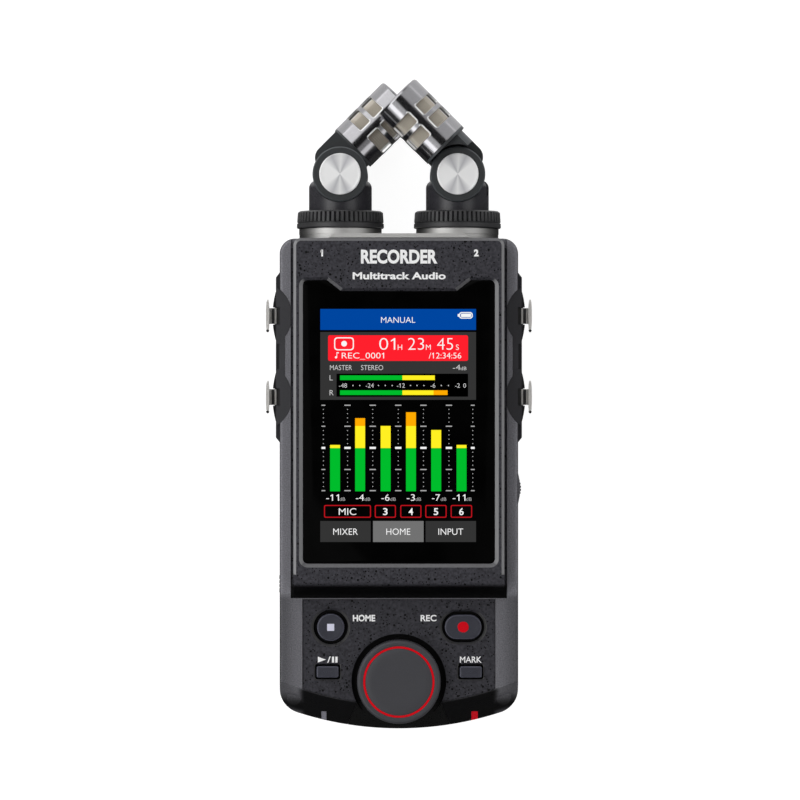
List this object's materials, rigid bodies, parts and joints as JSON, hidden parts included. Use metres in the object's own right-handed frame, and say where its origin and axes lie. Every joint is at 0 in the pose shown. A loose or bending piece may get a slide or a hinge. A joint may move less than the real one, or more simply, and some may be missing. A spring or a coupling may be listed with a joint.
{
  "type": "portable field recorder",
  "caption": "Handheld multitrack audio recorder with a large touch display, data wheel, side combo jacks and tilting crossed stereo microphones.",
  "frame": {"origin": "under the middle of the object, on the plane of its flat back", "axes": "+X is the recorder's right, +Y towards the microphones, +Z out of the display; the recorder lies on its back"},
  "size_m": [0.086, 0.2101, 0.0347],
  "materials": {
    "shell_grey": "satin fine texture",
    "housing_black": "speckled textured paint",
    "panel_black": "speckled textured paint",
    "socket_dark": "smooth",
    "trim_black": "glossy",
    "button_black": "satin",
    "wheel_black": "satin",
    "accent_red": "glossy",
    "window_grey": "translucent look",
    "window_red": "translucent look",
    "cover_glass": "polished",
    "screen": "display",
    "silver": "satin",
    "spun_silver": "spun",
    "knurl_black": "satin",
    "neck_black": "satin",
    "pewter": "brushed dark",
    "mesh": "fine woven",
    "capsule_dark": "satin",
    "steel": "satin",
    "tab_steel": "polished",
    "board_green": "solder mask",
    "component_black": "moulded",
    "cell_wrap": "printed sleeve",
    "brass": "plated"
  },
  "bodies": {
    "recorder": {"rear_shell": "shell_grey", "front_shell": "shell_grey", "display_housing": "housing_black", "display_glass": "cover_glass", "display_module": "screen", "control_panel": "panel_black", "bottom_trim": "trim_black", "wheel_encoder": "component_black", "switch_bodies": "component_black", "control_board": "board_green", "main_board": "board_green", "volume_control": "component_black", "mini_jacks": "socket_dark", "board_connectors": "steel", "aa_cells": "cell_wrap", "battery_contacts": "steel", "tripod_insert": "brass", "speaker": "component_black", "case_screws": "steel", "mic_top_plate": "silver", "mic_sockets": "socket_dark", "mic_collars": "silver", "power_indicator": "window_grey", "record_indicator": "window_red", "jack_panel_left": "socket_dark", "combo_jacks_left": "socket_dark", "neck_left": "neck_black", "jack_panel_right": "socket_dark", "combo_jacks_right": "socket_dark", "neck_right": "neck_black"},
    "mic_head_left": {"mic_arm_left": "neck_black", "hinge_knobs_left": "neck_black", "hinge_pin_left": "steel", "hinge_cap_left": "spun_silver", "head_housing_left": "pewter", "head_mesh_left": "mesh", "capsule_left": "capsule_dark"},
    "mic_ring_left": {"locking_ring_left": "knurl_black"},
    "jack_tab_upper_left": {"release_tab_upper_left": "tab_steel"},
    "jack_tab_lower_left": {"release_tab_lower_left": "tab_steel"},
    "mic_head_right": {"mic_arm_right": "neck_black", "hinge_knobs_right": "neck_black", "hinge_pin_right": "steel", "hinge_cap_right": "spun_silver", "head_housing_right": "pewter", "head_mesh_right": "mesh", "capsule_right": "capsule_dark"},
    "mic_ring_right": {"locking_ring_right": "knurl_black"},
    "jack_tab_upper_right": {"release_tab_upper_right": "tab_steel"},
    "jack_tab_lower_right": {"release_tab_lower_right": "tab_steel"},
    "wheel": {"data_wheel": "wheel_black", "wheel_ring": "accent_red"},
    "volume": {"volume_wheel": "wheel_black"},
    "home_key": {"home_button": "button_black"},
    "rec_key": {"rec_button": "button_black"},
    "play_key": {"play_button": "button_black"},
    "mark_key": {"mark_button": "button_black"},
    "power_slider": {"power_switch": "button_black"},
    "card_cover": {"card_door": "shell_grey"},
    "battery_door": {"battery_cover": "shell_grey"}
  },
  "joints": [
    {"name": "mic_tilt_left", "type": "hinge", "parent": "recorder", "child": "mic_head_left", "pos_m": [-0.019, 0.074, 0.01735], "axis": [0, 0, 1], "range_deg": [0, 90]},
    {"name": "ring_turn_left", "type": "hinge", "parent": "recorder", "child": "mic_ring_left", "pos_m": [-0.019, 0.0595, 0.01735], "axis": [0, 1, 0], "range_deg": [0, 360]},
    {"name": "tab_press_upper_left", "type": "slide", "parent": "recorder", "child": "jack_tab_upper_left", "axis": [1, 0, 0], "range_m": [0, 0.0007], "stiffness_N_per_m": 2000},
    {"name": "tab_press_lower_left", "type": "slide", "parent": "recorder", "child": "jack_tab_lower_left", "axis": [1, 0, 0], "range_m": [0, 0.0007], "stiffness_N_per_m": 2000},
    {"name": "mic_tilt_right", "type": "hinge", "parent": "recorder", "child": "mic_head_right", "pos_m": [0.019, 0.074, 0.01735], "axis": [0, 0, -1], "range_deg": [0, 90]},
    {"name": "ring_turn_right", "type": "hinge", "parent": "recorder", "child": "mic_ring_right", "pos_m": [0.019, 0.0595, 0.01735], "axis": [0, 1, 0], "range_deg": [0, 360]},
    {"name": "tab_press_upper_right", "type": "slide", "parent": "recorder", "child": "jack_tab_upper_right", "axis": [-1, 0, 0], "range_m": [0, 0.0007], "stiffness_N_per_m": 2000},
    {"name": "tab_press_lower_right", "type": "slide", "parent": "recorder", "child": "jack_tab_lower_right", "axis": [-1, 0, 0], "range_m": [0, 0.0007], "stiffness_N_per_m": 2000},
    {"name": "wheel_turn", "type": "hinge", "parent": "recorder", "child": "wheel", "pos_m": [0, -0.08975, 0.0288], "axis": [0, 0, 1], "continuous": true},
    {"name": "volume_turn", "type": "hinge", "parent": "recorder", "child": "volume", "pos_m": [0.0323, -0.0277, 0.013], "axis": [0, 0, 1], "range_deg": [-150, 150]},
    {"name": "home_press", "type": "slide", "parent": "recorder", "child": "home_key", "axis": [0, 0, -1], "range_m": [0, 0.0006], "stiffness_N_per_m": 1500},
    {"name": "rec_press", "type": "slide", "parent": "recorder", "child": "rec_key", "axis": [0, 0, -1], "range_m": [0, 0.0006], "stiffness_N_per_m": 1500},
    {"name": "play_press", "type": "slide", "parent": "recorder", "child": "play_key", "axis": [0, 0, -1], "range_m": [0, 0.0006], "stiffness_N_per_m": 1500},
    {"name": "mark_press", "type": "slide", "parent": "recorder", "child": "mark_key", "axis": [0, 0, -1], "range_m": [0, 0.0006], "stiffness_N_per_m": 1500},
    {"name": "power_slide", "type": "slide", "parent": "recorder", "child": "power_slider", "axis": [0, 1, 0], "range_m": [-0.002, 0.002]},
    {"name": "card_door_swing", "type": "hinge", "parent": "recorder", "child": "card_cover", "pos_m": [-0.0378, -0.0338, 0.0153], "axis": [0, 1, 0], "range_deg": [0, 90]},
    {"name": "battery_cover_slide", "type": "slide", "parent": "recorder", "child": "battery_door", "axis": [0, -1, 0], "range_m": [0, 0.006]}
  ]
}
